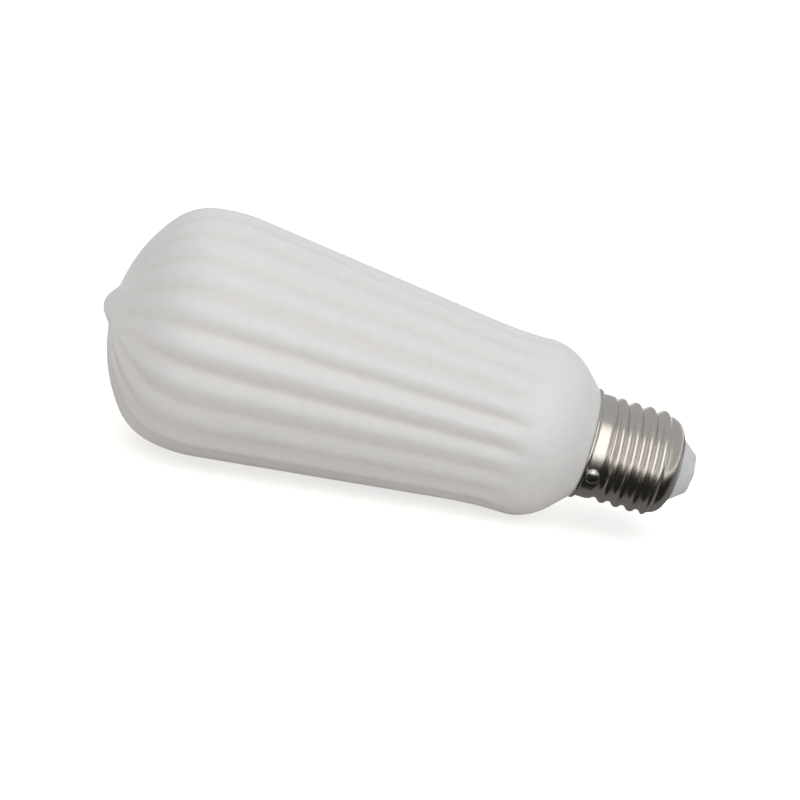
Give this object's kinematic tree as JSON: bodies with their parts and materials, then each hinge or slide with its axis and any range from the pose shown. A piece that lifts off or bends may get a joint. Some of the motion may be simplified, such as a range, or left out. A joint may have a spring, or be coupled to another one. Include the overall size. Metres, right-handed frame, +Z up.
{
  "type": "flame effect led bulb",
  "caption": "Pear-shaped LED bulb with a fluted opal glass envelope, a pip at its pole and a nickel plated E27 screw cap, lying on its side",
  "frame": {"origin": "middle of the bounding box's foot, on the surface that the bulb lies on", "axes": "+X runs from the pip to the cap along the bulb's length, +Z is up; the bulb's own axis slopes down towards the cap by about 5.8 degrees"},
  "size_m": [0.1498, 0.0606, 0.0607],
  "materials": {
    "opal_glass": "satin opal white glass, lightly translucent",
    "nickel_shell": "nickel plated rolled sheet, glossy with fine rolling marks",
    "white_insulator": "smooth white moulded plastic",
    "contact_metal": "nickel plated rivet",
    "solder": "bright solder"
  },
  "bodies": {
    "root": {"glass_envelope": "opal_glass", "screw_shell": "nickel_shell", "insulator": "white_insulator", "centre_contact": "contact_metal", "side_solder": "solder"}
  },
  "joints": []
}
